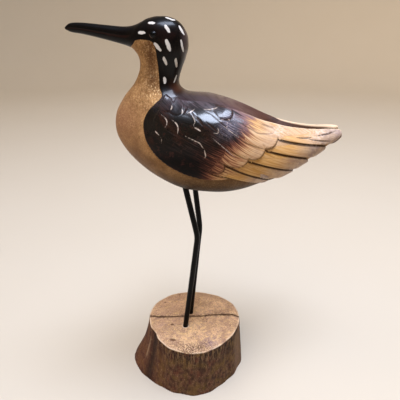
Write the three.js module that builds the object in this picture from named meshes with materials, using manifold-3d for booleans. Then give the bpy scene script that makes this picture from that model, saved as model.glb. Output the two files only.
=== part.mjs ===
// A carved and painted shorebird on two bent wire legs, which stand in a slice of log.
import * as THREE from "three";
import { mergeVertices } from "three/addons/utils/BufferGeometryUtils.js";
import Module from "manifold-3d";

const wasm = await Module();
wasm.setup();
const { lerp, clamp } = THREE.MathUtils;
const smooth = (from, to, value) => THREE.MathUtils.smoothstep(value, from, to);

// Driving sizes in millimetres. The bill points to -X, +Z is up, and the bird's left side is -Y.
const LOG_HEIGHT = 46.6;
const LOG_RADIUS = 39.8;
const ROOT_FLARE = 16.5;
const FOOT_SWELL = 3;
const BARK_DENT = 1.8;
const BARK_DEPTH = 0.4;
const CRACK_WIDTH = 1;
const CRACK_DEPTH = 4;
const LEG_DIAMETER = 4.3;
const LEG_SPREAD = 17.6;
const SHANK_RISE = 89;
const THIGH_RISE = 37;
const KNEE_BEND = 5;
const LEFT_LEG_X = { foot: -7, knee: 3.8, hip: -4.3 };
const RIGHT_LEG_X = { foot: -5.3, knee: 3.2, hip: -1 };
const SOCKET_DEPTH = 12;
const SOCKET_CLEARANCE = 0.3;
const BIRD_LENGTH = 186.8;
const VALLEY_DEPTH = 7.5;
const TAIL_NOTCH = 10;
const WING_PROUD = 1.3;
const FLIGHT_LIFT = 2;
const UPPER_LIFT = 1.3;
const COVERT_LIFT = 0.8;
const COVERT_LENGTH = 9;
const COVERT_WIDTH = 8.8;
const CARVING_DEPTH = 1.5;
const EYE_DIAMETER = 4.6;
const EYE_PROUD = 0.9;

// The bird is drawn on ribs, with x from the log's centre and z from the hips, in millimetres.
// Each rib has its end on the back (x, z), its end on the breast side (x, z) and its half width.
const RIBS = [
  [99.9, 48.6, 99.6, 46, 7.5],
  [97.5, 50.2, 97, 42.4, 9.5],
  [92, 50.8, 91, 37.6, 12.5],
  [84, 50.8, 83, 30.8, 16.5],
  [74, 51.4, 73, 22.9, 20.5],
  [62, 53.4, 61, 15, 25],
  [50, 57.4, 49, 10.2, 28.5],
  [37, 63.2, 36.5, 4.8, 30.8],
  [24, 68.2, 23, 1.6, 32],
  [11, 71, 8.5, 1.2, 32.2],
  [0, 71.6, -6, 2.6, 31.5],
  [-5, 72.2, -20, 7.9, 30],
  [-8, 73.6, -34.4, 16.4, 27.5],
  [-9.6, 75.4, -47.4, 28, 23.5],
  [-10.2, 77.2, -55.5, 41.4, 19.5],
  [-10.2, 79.2, -55.5, 55.4, 16],
  [-9.7, 81.4, -49, 67.4, 13.3],
  [-8.8, 84.4, -41, 76.9, 11.6],
  [-7.3, 88.4, -37, 84.9, 11.2],
  [-5, 93.9, -36.2, 90.9, 11.6],
  [-3.2, 100.4, -37.3, 95, 12.1],
  [-4, 108.4, -39, 97.4, 12.2],
  [-9.5, 115.6, -40.5, 99, 11.8],
  [-19, 118.8, -42, 100, 10.6],
  [-29, 117.6, -43.5, 100.6, 8.4],
  [-38, 113.7, -46, 101.4, 5.9],
  [-46, 112.5, -51, 102.7, 4.5],
  [-59, 113.5, -60.5, 105, 3.8],
  [-74, 114.8, -74.5, 108, 3.1],
  [-83, 114.6, -83, 109.3, 2.3],
  [-86.9, 112.3, -86.9, 111, 0.9],
];
const SCALE = BIRD_LENGTH / (RIBS[0][0] - RIBS.at(-1)[0]);

// Towards the tail a valley opens between the wings, and their tips part. Places are along x.
const VALLEY_X = { start: 8, narrows: 20, deepest: 75, end: 97 };
const VALLEY_HALF_WIDTH = { front: 13, tail: 5.8 };
const NOTCH_X = { start: 82, deepest: 99 };

// The wing is drawn on the side view, in the ribs' x and z. Its two edges both start at the shoulder.
const WING_BACK = [
  [-30.4, 54], [-27.3, 61.5], [-19, 69], [-8, 69.8], [4, 69], [16, 67],
  [28, 63], [38, 59.2],
];
const WING_FRONT = [
  [-30.4, 50], [-28, 43], [-21.5, 34.2], [-12.5, 27.3], [-1, 22], [11, 19.2],
  [22, 19], [34, 21],
];

// Feathers, each with its root, its tip, its half width and how far its middle bows down.
// Those over the tail come first.
const FLIGHT_FEATHERS = [
  { root: [14, 30.4], tip: [54.2, 18.8], half: 4.5, bow: 0.8 },
  { root: [21, 37.3], tip: [69.8, 22.6], half: 5.8, bow: 1.3 },
  { root: [34, 41.5], tip: [79.5, 28.6], half: 6.2, bow: 0.5 },
  { root: [45, 47.8], tip: [89.8, 38.6], half: 6.2, bow: 1.4 },
  { root: [49, 52.2], tip: [100, 46.8], half: 4.8, bow: 1.6 },
];
const UPPER_FEATHERS = [
  { root: [3, 34], tip: [25.5, 27.8], half: 4 },
  { root: [14, 43], tip: [40.2, 32.2], half: 4.8 },
  { root: [24, 50.9], tip: [51.2, 38.4], half: 4.8 },
  { root: [31, 55.3], tip: [58.5, 45.4], half: 4.6 },
  { root: [-11, 45.7], tip: [13.4, 37.6], half: 5.2 },
  { root: [6, 57.2], tip: [27, 45.5], half: 4.4 },
  { root: [9, 64.4], tip: [36, 49.5], half: 4.4 },
  { root: [10, 66.2], tip: [27.5, 59.3], half: 3.6 },
];
const COVERT_TIPS = [
  [9.5, 51.8], [4.2, 61], [-3, 60.6], [-10.3, 62], [1.6, 55.2],
  [-4.8, 50.8], [-12.8, 56.2], [-15.8, 44.6], [-21, 51.5],
];
const COVERT_SLOPE = -0.55;
const TIP_ROUNDING = 1.3;
const [ROUND_TIP, BLUNT_TIP] = [2, 2.8];
const FEATHER_STEP = 13;
const BURIED = 0.6;
const EYE = [-23.9, 108.1];
const SECTION_POWER = 2.15;
const RING_POINTS = 28;
const NECK_RIB = 17;
const BILL_RIB = 25;
const BODY_PLACES = [0, NECK_RIB];
const HEAD_PLACES = [NECK_RIB, BILL_RIB];

// Each column of the rib table as a smooth curve of the rib's number.
function ribAt(place) {
  const last = RIBS.length - 1;
  const i = clamp(Math.floor(place), 0, last - 1);
  const t = place - i;
  const rows = [i - 1, i, i + 1, i + 2].map((k) => RIBS[clamp(k, 0, last)]);
  return RIBS[0].map((_, column) => {
    const [a, b, c, d] = rows.map((row) => row[column]);
    const bend = 2 * a - 5 * b + 4 * c - d;
    return 0.5 * (2 * b + (c - a) * t + bend * t * t + (3 * (b - c) + d - a) * t ** 3);
  });
}

// A point of the bird's plain skin: place counts ribs from the tail, and angle goes round from the back.
function skin(place, angle) {
  const [backX, backZ, frontX, frontZ, half] = ribAt(place);
  const round = (v) => Math.sign(v) * Math.abs(v) ** (2 / SECTION_POWER);
  const up = round(Math.cos(angle));
  const y = half * round(Math.sin(angle));
  const x = (backX + frontX + (backX - frontX) * up) / 2;
  const z = (backZ + frontZ + (backZ - frontZ) * up) / 2;
  const { front, tail } = VALLEY_HALF_WIDTH;
  const reach = lerp(front, tail, smooth(VALLEY_X.narrows, VALLEY_X.end, x));
  const middle = Math.max(0, 1 - (y / reach) ** 2);
  const valley = VALLEY_DEPTH * smooth(VALLEY_X.start, VALLEY_X.deepest, x);
  const depth = up > 0 ? Math.min(valley, 0.8 * SCALE * (backZ - frontZ)) : 0;
  const notch = TAIL_NOTCH * smooth(NOTCH_X.start, NOTCH_X.deepest, x);
  return new THREE.Vector3(SCALE * x - notch * middle, SCALE * y, SCALE * z - depth * middle);
}

// Where a point of the side view lies on the skin of the bird's left side.
function find([x, z], [low, high]) {
  const off = (place) => {
    const [backX, backZ, frontX, frontZ] = ribAt(place);
    return (x - frontX) * (backZ - frontZ) - (z - frontZ) * (backX - frontX);
  };
  const past = Math.sign(off(high));
  for (let i = 0; i < 40; i++) {
    const middle = (low + high) / 2;
    if (Math.sign(off(middle)) === past) high = middle;
    else low = middle;
  }
  const [backX, backZ, frontX, frontZ] = ribAt(low);
  const [dx, dz] = [backX - frontX, backZ - frontZ];
  const share = ((x - frontX) * dx + (z - frontZ) * dz) / (dx * dx + dz * dz);
  const up = clamp(2 * share - 1, -0.999, 0.999);
  const angle = -Math.acos(Math.sign(up) * Math.abs(up) ** (SECTION_POWER / 2));
  return [low, angle];
}

// A point that stands off the skin by a height, over a point of the side view.
function over(spot, height, range = BODY_PLACES) {
  const [place, angle] = find(spot, range);
  const step = 0.01;
  const point = skin(place, angle);
  const alongPlace = skin(place + step, angle).sub(skin(place - step, angle));
  const alongAngle = skin(place, angle + step).sub(skin(place, angle - step));
  return point.addScaledVector(alongAngle.cross(alongPlace).normalize(), height);
}

function solidOf(geometry) {
  const bare = new THREE.BufferGeometry();
  bare.setAttribute("position", geometry.getAttribute("position"));
  bare.setIndex(geometry.getIndex());
  const merged = mergeVertices(bare, 1e-4);
  const vertProperties = merged.getAttribute("position").array;
  const triVerts = new Uint32Array(merged.getIndex().array);
  return new wasm.Manifold(new wasm.Mesh({ numProp: 3, vertProperties, triVerts }));
}

function meshOf(solid, name, colour, roughness, metalness = 0) {
  const { vertProperties, triVerts } = solid.getMesh();
  const geometry = new THREE.BufferGeometry();
  geometry.setAttribute("position", new THREE.BufferAttribute(vertProperties, 3));
  geometry.setIndex(new THREE.BufferAttribute(triVerts, 1));
  geometry.computeVertexNormals();
  const material = new THREE.MeshStandardMaterial({ color: colour, roughness, metalness });
  const mesh = new THREE.Mesh(geometry, material);
  mesh.name = name;
  return mesh;
}

function geometryOf(points, faces) {
  const geometry = new THREE.BufferGeometry().setFromPoints(points);
  geometry.setIndex(faces.flat());
  return geometry;
}

// The faces between rings of points that all have the same count.
function sleeve(rings, n) {
  const faces = [];
  for (let i = 0; i + 1 < rings; i++)
    for (let j = 0; j < n; j++) {
      const [a, b] = [i * n + j, i * n + ((j + 1) % n)];
      faces.push([a, b, a + n], [b, b + n, a + n]);
    }
  return faces;
}

// The body, neck, head and bill as one skin, closed by an edge at the tail and a point at the bill.
function carveBody() {
  const n = RING_POINTS;
  const places = RIBS.flatMap((_, rib) => (rib < BILL_RIB ? [rib, rib + 0.5] : [rib]));
  const turns = Array.from({ length: n }, (_, j) => (2 * Math.PI * j) / n);
  const points = places.flatMap((place) => turns.map((turn) => skin(place, turn)));
  const faces = sleeve(places.length, n);
  for (let j = 0; j < n / 4; j++) {
    const [a, b] = [j, j + 1];
    faces.push([b, a, n / 2 - a]);
    faces.push([n - b, n / 2 + a, (n - a) % n]);
    if (b === n / 4) continue;
    faces.push([b, n / 2 - a, n / 2 - b]);
    faces.push([n - b, n / 2 + b, n / 2 + a]);
  }
  const [backX, backZ, frontX, frontZ] = RIBS.at(-1);
  const end = points.length;
  points.push(new THREE.Vector3(SCALE * (backX + frontX) / 2 - 0.3, 0, SCALE * (backZ + frontZ) / 2));
  for (let j = 0; j < n; j++) faces.push([end - n + j, end - n + ((j + 1) % n), end]);
  return solidOf(geometryOf(points, faces));
}

// A closed sheet over the bird's side: rows of side view spots with their heights, sunk into the body.
function sheet(rows) {
  const [n, m] = [rows.length, rows[0].length];
  const points = [];
  for (const sunk of [false, true])
    for (const row of rows)
      for (const { spot, height } of row) points.push(over(spot, sunk ? -CARVING_DEPTH : height));
  const under = n * m;
  const faces = [];
  for (let i = 0; i + 1 < n; i++)
    for (let j = 0; j + 1 < m; j++) {
      const [a, b, c, d] = [i * m + j, i * m + j + 1, (i + 1) * m + j, (i + 1) * m + j + 1];
      faces.push([a, b, c], [b, d, c]);
      faces.push([b + under, a + under, c + under], [d + under, b + under, c + under]);
    }
  const wall = (a, b) => faces.push([b, a, a + under], [b, a + under, b + under]);
  for (let j = 0; j + 1 < m; j++) {
    wall(j, j + 1);
    wall((n - 1) * m + j + 1, (n - 1) * m + j);
  }
  for (let i = 0; i + 1 < n; i++) {
    wall((i + 1) * m, i * m);
    wall(i * m + m - 1, (i + 1) * m + m - 1);
  }
  return solidOf(geometryOf(points, faces));
}

// One feather as a sheet. Its upper edge lies low, and its lower edge and its tip lift.
function feather(shape, { root, low, lift, tipPower }, columns) {
  const { root: [rootX, rootZ], tip: [tipX, tipZ], half, bow = 0 } = shape;
  const length = Math.hypot(tipX - rootX, tipZ - rootZ);
  const [alongX, alongZ] = [(tipX - rootX) / length, (tipZ - rootZ) / length];
  const round = 1 - (TIP_ROUNDING * half) / length;
  const straight = Math.ceil((length * round) / FEATHER_STEP);
  const stations = Array.from({ length: straight }, (_, i) => (round * i) / straight);
  stations.push(...[0, 0.6, 0.94].map((v) => lerp(round, 1, v)));
  const rows = stations.map((t) => {
    const intoTip = Math.max(0, (t - round) / (1 - round));
    const width = half * (1 - intoTip ** tipPower) ** (1 / tipPower);
    const rise = lift * lerp(0.2, 1, t);
    return columns.map((across) => {
      const aside = width * across + bow * 4 * t * (1 - t);
      return {
        spot: [lerp(rootX, tipX, t) + alongZ * aside, lerp(rootZ, tipZ, t) - alongX * aside],
        height: t === 0 ? root : low + rise * lerp((across + 1) / 2, 1, t ** 3),
      };
    });
  });
  return sheet(rows);
}

// The wing is a raised patch that fades into the back and the tail, with its feathers laid over it.
function carveWing() {
  const spline = (points) => new THREE.SplineCurve(points.map(([x, z]) => new THREE.Vector2(x, z)));
  const [back, front] = [spline(WING_BACK), spline(WING_FRONT)];
  const columns = 15;
  const crossings = 5;
  const [fadeFrom, fadeTo] = [14, 36];
  const rows = [];
  for (let i = 0; i <= columns; i++) {
    const [high, low] = [back.getPoint(i / columns), front.getPoint(i / columns)];
    const row = [];
    for (let j = 0; j <= crossings; j++) {
      const across = j / crossings;
      const spot = high.clone().lerp(low, across).toArray();
      const fromTail = 1 - smooth(fadeFrom, fadeTo, spot[0]);
      const fromBack = lerp(0.2, 1, smooth(0, 0.3, across));
      row.push({ spot, height: lerp(-BURIED, WING_PROUD, Math.min(fromTail, fromBack)) });
    }
    rows.push(row);
  }
  const reach = COVERT_LENGTH / SCALE / Math.hypot(1, COVERT_SLOPE);
  const coverts = COVERT_TIPS.map(([x, z]) => ({
    root: [x - reach, z - reach * COVERT_SLOPE],
    tip: [x, z],
    half: COVERT_WIDTH / SCALE / 2,
  }));
  const covered = WING_PROUD - BURIED / 2;
  const carve = (shapes, heights, across) => shapes.map((shape) => feather(shape, heights, across));
  const flight = { root: -BURIED, low: -BURIED, lift: FLIGHT_LIFT, tipPower: ROUND_TIP };
  const upper = { root: -BURIED, low: WING_PROUD / 3, lift: UPPER_LIFT, tipPower: BLUNT_TIP };
  const small = { root: covered, low: covered, lift: COVERT_LIFT, tipPower: ROUND_TIP };
  const feathers = [
    ...carve(FLIGHT_FEATHERS, flight, [-1, -0.4, 0.3, 1]),
    ...carve(UPPER_FEATHERS, upper, [-1, 0.1, 1]),
    ...carve(coverts, small, [-1, 1]),
  ];
  return feathers.reduce((wing, solid) => wing.add(solid), sheet(rows));
}

function carveEye() {
  const ball = new THREE.SphereGeometry(EYE_DIAMETER / 2, 14, 8);
  const seat = over(EYE, EYE_PROUD - EYE_DIAMETER / 2, HEAD_PLACES);
  return solidOf(ball).translate(seat.toArray());
}

// Both legs lean a little differently.
const LEGS = [
  { name: "left_leg", side: -1, ...LEFT_LEG_X },
  { name: "right_leg", side: 1, ...RIGHT_LEG_X },
];

// A leg's points from its end in the log to its end in the bird, each with its direction there.
function legPath({ side, foot, knee, hip }, extra = 0) {
  const y = (side * LEG_SPREAD) / 2;
  const ankle = new THREE.Vector3(foot, y, LOG_HEIGHT);
  const joint = new THREE.Vector3(knee, y, LOG_HEIGHT + SHANK_RISE);
  const belly = new THREE.Vector3(hip, y, LOG_HEIGHT + SHANK_RISE + THIGH_RISE);
  const reach = SOCKET_DEPTH + extra;
  const along = (from, to, length) => to.clone().addScaledVector(to.clone().sub(from).normalize(), length);
  const low = along(joint, ankle, reach);
  const high = along(joint, belly, reach);
  const bendLow = along(low, joint, -KNEE_BEND);
  const bendHigh = along(high, joint, -KNEE_BEND);
  const bend = new THREE.QuadraticBezierCurve3(bendLow, joint, bendHigh);
  const path = [0, 1 / 3, 2 / 3, 1].map((t) => ({ at: bend.getPoint(t), along: bend.getTangent(t) }));
  path.unshift({ at: low, along: path[0].along });
  path.push({ at: high, along: path.at(-1).along });
  return path;
}

function rod(path, radius) {
  const sides = 12;
  const across = new THREE.Vector3(0, 1, 0);
  const points = path.flatMap(({ at, along }) => {
    const ahead = across.clone().cross(along);
    return Array.from({ length: sides }, (_, i) => {
      const turn = (2 * Math.PI * i) / sides;
      const rim = at.clone().addScaledVector(ahead, radius * Math.cos(turn));
      return rim.addScaledVector(across, radius * Math.sin(turn));
    });
  });
  const faces = sleeve(path.length, sides);
  const last = points.length - sides;
  for (let i = 1; i + 1 < sides; i++) faces.push([0, i + 1, i], [last, last + i, last + i + 1]);
  return solidOf(geometryOf(points, faces));
}

// The log's radius at a turn around it and a share of its height. A root flares out on the bill's side,
// a dent runs up beside it, the foot swells on the tail's side, and the bark is ribbed below the rim.
function logRadius(turn, share) {
  const foot = 1 - share;
  const swell = (at, width) => {
    const away = Math.atan2(Math.sin(turn - at), Math.cos(turn - at));
    return Math.exp(-((away / width) ** 2));
  };
  const outline = 1 + 0.049 * Math.cos(turn - 2.23) + 0.035 * Math.cos(3 * turn - 1.68);
  const flare = ROOT_FLARE * swell(Math.PI, 0.78) * foot ** 1.6;
  const dent = BARK_DENT * swell(3.74, 0.16) * lerp(1, 0.5, foot);
  const ribs = Math.sin(9 * turn + 1.5 * Math.sin(3 * turn)) + 0.6 * Math.sin(16 * turn + 2 * share);
  const bark = BARK_DEPTH * ribs * lerp(0.4, 1, smooth(0, 0.3, foot));
  return LOG_RADIUS * outline + flare - dent + FOOT_SWELL * swell(0.15, 0.5) * foot + bark;
}

function carveLog() {
  const turns = 54;
  const levels = 4;
  const points = [];
  for (let i = 0; i <= levels; i++)
    for (let j = 0; j < turns; j++) {
      const turn = (2 * Math.PI * j) / turns;
      const radius = logRadius(turn, i / levels);
      const z = (LOG_HEIGHT * i) / levels;
      points.push(new THREE.Vector3(radius * Math.cos(turn), radius * Math.sin(turn), z));
    }
  const faces = sleeve(levels + 1, turns);
  points.push(new THREE.Vector3(0, 0, 0), new THREE.Vector3(0, 0, LOG_HEIGHT));
  const [bottom, top] = [points.length - 2, points.length - 1];
  for (let j = 0; j < turns; j++) {
    const k = (j + 1) % turns;
    faces.push([k, j, bottom], [levels * turns + j, levels * turns + k, top]);
  }
  return solidOf(geometryOf(points, faces));
}

// The crack runs over the log's top from rim to rim, as a wedge that narrows downwards.
const CRACK_LINE = [
  [-1.25, -0.05], [-0.64, 0.005], [-0.3, 0.08], [0.05, 0.13], [0.43, 0.23], [0.78, 0.28], [1.2, 0.2],
];

function crackWedge() {
  const points = [];
  for (const [x, y] of CRACK_LINE) {
    const [atX, atY] = [x * LOG_RADIUS, y * LOG_RADIUS];
    points.push(new THREE.Vector3(atX, atY + CRACK_WIDTH / 2, LOG_HEIGHT + 0.3));
    points.push(new THREE.Vector3(atX, atY - CRACK_WIDTH / 2, LOG_HEIGHT + 0.3));
    points.push(new THREE.Vector3(atX, atY, LOG_HEIGHT - CRACK_DEPTH));
  }
  const faces = sleeve(CRACK_LINE.length, 3);
  const end = points.length;
  faces.push([1, 0, 2], [end - 3, end - 2, end - 1]);
  return solidOf(geometryOf(points, faces));
}

const part = new THREE.Group();
const leftSide = carveWing().add(carveEye());
const carved = carveBody().add(leftSide).add(leftSide.mirror([0, 1, 0]));
const hips = LOG_HEIGHT + SHANK_RISE + THIGH_RISE;
let bird = carved.translate([0, 0, hips]);
let log = carveLog().subtract(crackWedge());
for (const leg of LEGS) {
  const wire = rod(legPath(leg), LEG_DIAMETER / 2);
  const drill = rod(legPath(leg, SOCKET_CLEARANCE), LEG_DIAMETER / 2 + SOCKET_CLEARANCE);
  bird = bird.subtract(drill);
  log = log.subtract(drill);
  part.add(meshOf(wire, leg.name, 0x15151a, 0.35));
}
part.add(meshOf(bird, "bird", 0xb08558, 0.35));
part.add(meshOf(log, "log_base", 0xc39a74, 0.85));

export default part;
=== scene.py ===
import math

import bmesh
import bpy
import numpy as np
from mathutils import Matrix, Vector


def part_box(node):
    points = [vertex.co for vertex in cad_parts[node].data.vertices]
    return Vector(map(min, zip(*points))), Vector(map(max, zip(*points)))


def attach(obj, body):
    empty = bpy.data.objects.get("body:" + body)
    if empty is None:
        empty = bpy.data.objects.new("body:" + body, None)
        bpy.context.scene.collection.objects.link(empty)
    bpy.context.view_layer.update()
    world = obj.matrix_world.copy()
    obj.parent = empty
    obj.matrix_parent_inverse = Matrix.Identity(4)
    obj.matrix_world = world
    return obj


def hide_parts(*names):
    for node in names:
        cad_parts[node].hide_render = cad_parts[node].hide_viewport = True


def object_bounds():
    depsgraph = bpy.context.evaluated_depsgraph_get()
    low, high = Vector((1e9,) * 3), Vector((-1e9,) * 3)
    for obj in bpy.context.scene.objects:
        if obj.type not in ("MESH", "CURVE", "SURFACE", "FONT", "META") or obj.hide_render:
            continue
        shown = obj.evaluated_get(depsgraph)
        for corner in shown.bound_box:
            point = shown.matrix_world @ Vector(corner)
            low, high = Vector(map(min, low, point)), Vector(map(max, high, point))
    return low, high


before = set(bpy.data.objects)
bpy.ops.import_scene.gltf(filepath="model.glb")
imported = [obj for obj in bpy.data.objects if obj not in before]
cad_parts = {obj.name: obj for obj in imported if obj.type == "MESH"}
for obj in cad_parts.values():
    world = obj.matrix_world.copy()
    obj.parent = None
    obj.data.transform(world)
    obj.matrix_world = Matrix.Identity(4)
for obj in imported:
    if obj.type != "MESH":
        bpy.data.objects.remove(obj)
solids_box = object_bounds()

# Shapes are worked out in millimetres. The bill points to -X, and the bird's left side is -Y.
MM = 0.001
LOG_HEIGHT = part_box("log_base")[1].z / MM
SHANK_RISE = 89
THIGH_RISE = 37
HIPS = LOG_HEIGHT + SHANK_RISE + THIGH_RISE

# The bird's ribs, from the tail to the bill: the end on the back (x, z), the end on the breast side
# (x, z) and the half width. Here and on the side view z counts from the hips.
RIBS = np.array([
    [99.9, 48.6, 99.6, 46, 7.5],
    [97.5, 50.2, 97, 42.4, 9.5],
    [92, 50.8, 91, 37.6, 12.5],
    [84, 50.8, 83, 30.8, 16.5],
    [74, 51.4, 73, 22.9, 20.5],
    [62, 53.4, 61, 15, 25],
    [50, 57.4, 49, 10.2, 28.5],
    [37, 63.2, 36.5, 4.8, 30.8],
    [24, 68.2, 23, 1.6, 32],
    [11, 71, 8.5, 1.2, 32.2],
    [0, 71.6, -6, 2.6, 31.5],
    [-5, 72.2, -20, 7.9, 30],
    [-8, 73.6, -34.4, 16.4, 27.5],
    [-9.6, 75.4, -47.4, 28, 23.5],
    [-10.2, 77.2, -55.5, 41.4, 19.5],
    [-10.2, 79.2, -55.5, 55.4, 16],
    [-9.7, 81.4, -49, 67.4, 13.3],
    [-8.8, 84.4, -41, 76.9, 11.6],
    [-7.3, 88.4, -37, 84.9, 11.2],
    [-5, 93.9, -36.2, 90.9, 11.6],
    [-3.2, 100.4, -37.3, 95, 12.1],
    [-4, 108.4, -39, 97.4, 12.2],
    [-9.5, 115.6, -40.5, 99, 11.8],
    [-19, 118.8, -42, 100, 10.6],
    [-29, 117.6, -43.5, 100.6, 8.4],
    [-38, 113.7, -46, 101.4, 5.9],
    [-46, 112.5, -51, 102.7, 4.5],
    [-59, 113.5, -60.5, 105, 3.8],
    [-74, 114.8, -74.5, 108, 3.1],
    [-83, 114.6, -83, 109.3, 2.3],
    [-86.9, 112.3, -86.9, 111, 0.9],
])
LAST_RIB = len(RIBS) - 1
SECTION_POWER = 2.15

# The valley between the wings and the notch in the tail. Their places are along x.
VALLEY_DEPTH = 7.5
VALLEY_RIB_SHARE = 0.8
VALLEY_X = dict(start=8, narrows=20, deepest=75, end=97)
VALLEY_HALF_WIDTH = dict(front=13, tail=5.8)
TAIL_NOTCH = 10
NOTCH_X = dict(start=82, deepest=99)
# How much wider than the carved valley its paint is in front, and where that ends.
RIDGE_SPREAD = 2.3
RIDGE_X = (44, 62)

# How far apart the mesh's rings lie, as pairs of a rib's number and a spacing.
RING_SPACING = [(0, 0.57), (15, 0.57), (16.5, 0.9), (20, 0.9), (20.5, 0.42), (25, 0.42), (26, 1.3)]
RING_POINTS = 240
# The points of a ring lie closer on the bird's sides, between these angles from the back.
SIDE_STARTS, SIDE_ENDS = (0.1, 0.3), (2.05, 2.35)
SIDE_CLOSER = 1.2
# How far the bill's tip lies beyond the last ring.
BILL_TIP = 0.3

# The wing's two edges on the side view, both from the shoulder.
WING_BACK = [(-30.4, 54), (-27.3, 61.5), (-19, 69), (-8, 69.8), (4, 69), (16, 67), (28, 63), (38, 59.2)]
WING_FRONT = [
    (-30.4, 50), (-28, 43), (-21.5, 34.2), (-12.5, 27.3), (-1, 22), (11, 19.2), (22, 19), (34, 21),
]
WING_PROUD = 1.3
# Along x the wing sinks into the skin, its groove a little sooner. It also sinks towards its back edge.
WING_SINKS = (14, 36)
WING_GROOVE_ENDS = (14, 30)
BACK_FADE = 13
BACK_SHARE = 0.2
# How deep a form starts under what it lies on, how wide its rounded edge is, and the groove beside it.
BURIED = 0.6
EDGE_WIDTH = 0.5
GROOVE_DEPTH = 0.3
GROOVE_WIDTH = 0.5
GROOVE_AWAY = 0.35

# Feathers in the order in which they lie on each other. Each has its root, its tip, its half width,
# the bow of its middle line, how pale its paint is and how dark the line is that it casts, painted
# shadow with stain in it. What a feather doesn't name is 0.
FLIGHT_FEATHERS = [
    dict(root=(14, 30.4), tip=(54.2, 18.8), half=4.5, bow=0.8, pale=0.05, line=0.8),
    dict(root=(22.2, 38.7), tip=(69.8, 22.7), half=5.5, bow=3, pale=0.15, line=1),
    dict(root=(34, 41.5), tip=(79.5, 28.9), half=5.4, bow=1.2, pale=0.3, line=1),
    dict(root=(45.4, 48.7), tip=(89.8, 38.6), half=6.2, bow=1.5, pale=0.5, line=1),
    dict(root=(50.2, 54), tip=(100, 46.9), half=4.5, bow=3.1, pale=0.95, line=1),
]
UPPER_FEATHERS = [
    dict(root=(3, 34), tip=(24.8, 28.2), half=4, pale=0.2, line=0.45),
    dict(root=(17.5, 45.6), tip=(39.8, 33.8), half=5.4, bow=3.8, pale=0.4, line=0.45),
    dict(root=(23.2, 52.2), tip=(49.8, 39), half=6, bow=2.7, pale=0.6, line=0.35),
    dict(root=(30.6, 56.8), tip=(57.5, 44.9), half=4.5, bow=3.2, pale=0.8, line=0.35),
]
DARK_FEATHERS = [
    dict(root=(-11, 45.7), tip=(13, 38), half=5.2, line=0.2),
    dict(root=(4, 57.2), tip=(22, 50), half=4.2, line=0.2),
    dict(root=(10, 64.4), tip=(28.4, 60.7), half=3.2, line=0.2),
]
COVERT_TIPS = [(5.2, 57), (-3.4, 61.8), (-10.6, 63.6), (-5.2, 51), (-13, 56), (-16.1, 44.6)]
COVERT_LENGTH = 9
COVERT_WIDTH = 8.8
COVERT_SLOPE = -0.55
# Each row of feathers: its height at the root, its height along the upper edge, its lift, how blunt
# its tips are, how its barbs lean and the share of a feather's length at which its line starts.
SMALL_FEATHER = dict(lean=0.16, line_from=0.12)
FLIGHT_ROW = dict(at_root=-BURIED, low=-BURIED, lift=2, blunt=2, lean=0.06, line_from=0.02)
UPPER_ROW = dict(at_root=-BURIED, low=WING_PROUD / 3, lift=1.3, blunt=2.8, **SMALL_FEATHER)
DARK_ROW = dict(at_root=-BURIED, low=WING_PROUD / 2, lift=0.3, blunt=2, **SMALL_FEATHER)
COVERT_LOW = WING_PROUD - BURIED / 2
COVERT_ROW = dict(at_root=COVERT_LOW, low=COVERT_LOW, lift=0.35, blunt=2, **SMALL_FEATHER)
# How long a tip's rounding is, in half widths, and over what length and share of it a root rises.
TIP_ROUNDING = 1.3
ROOT_FADE = 13
ROOT_SHARE = 0.8
# Where the wing is pale between its feathers: from and to, along x and up.
PALE_ALONG, PALE_UP = (40, 52), (38, 44)
PALEST = 0.95

# Strokes on the wing, each with its width and its line. The first are cuts, darkened with painted
# shade, along the dark feathers, round the topmost tan one and near the tail's tip.
CUTS = [
    (1.8, [(2.2, 61.9), (5, 59.6), (7.8, 57.5), (10.5, 54.6)]),
    (0.9, [(10.2, 63), (14.3, 61.4), (18.4, 58.6), (22.7, 55.6), (27.7, 52)]),
    (0.9, [(15.5, 63.6), (17.4, 61.9), (20, 59.4)]),
    (0.9, [(12.2, 56.7), (17.6, 53), (22.9, 49.4)]),
    (1.1, [(18.9, 59.1), (21.9, 58.1), (25.4, 58.1), (27.7, 59), (28.4, 60.7), (27, 63.3)]),
    (0.9, [(-13.5, 51.2), (-9.3, 49.9), (-5.4, 48.3), (-0.1, 45.9), (3.9, 44)]),
    (0.9, [
        (33.7, 56), (40.1, 52.9), (44.7, 50.1), (49.2, 49.4), (53, 49.3), (55.2, 49.8), (55.8, 51.3),
    ]),
    (0.9, [(55.8, 51.3), (54.6, 52.3), (50.3, 53.7), (47, 54.9)]),
    (0.9, [(78, 45.4), (85, 44.4), (91.6, 44)]),
    (0.9, [(83, 47), (90, 47.9), (95.7, 49)]),
    (0.9, [(91, 41.6), (96, 43.9), (99.2, 47.4)]),
    (0.9, [(70, 46.6), (76, 46), (80, 46.3)]),
]
CUT_DEPTH = 0.1
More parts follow.
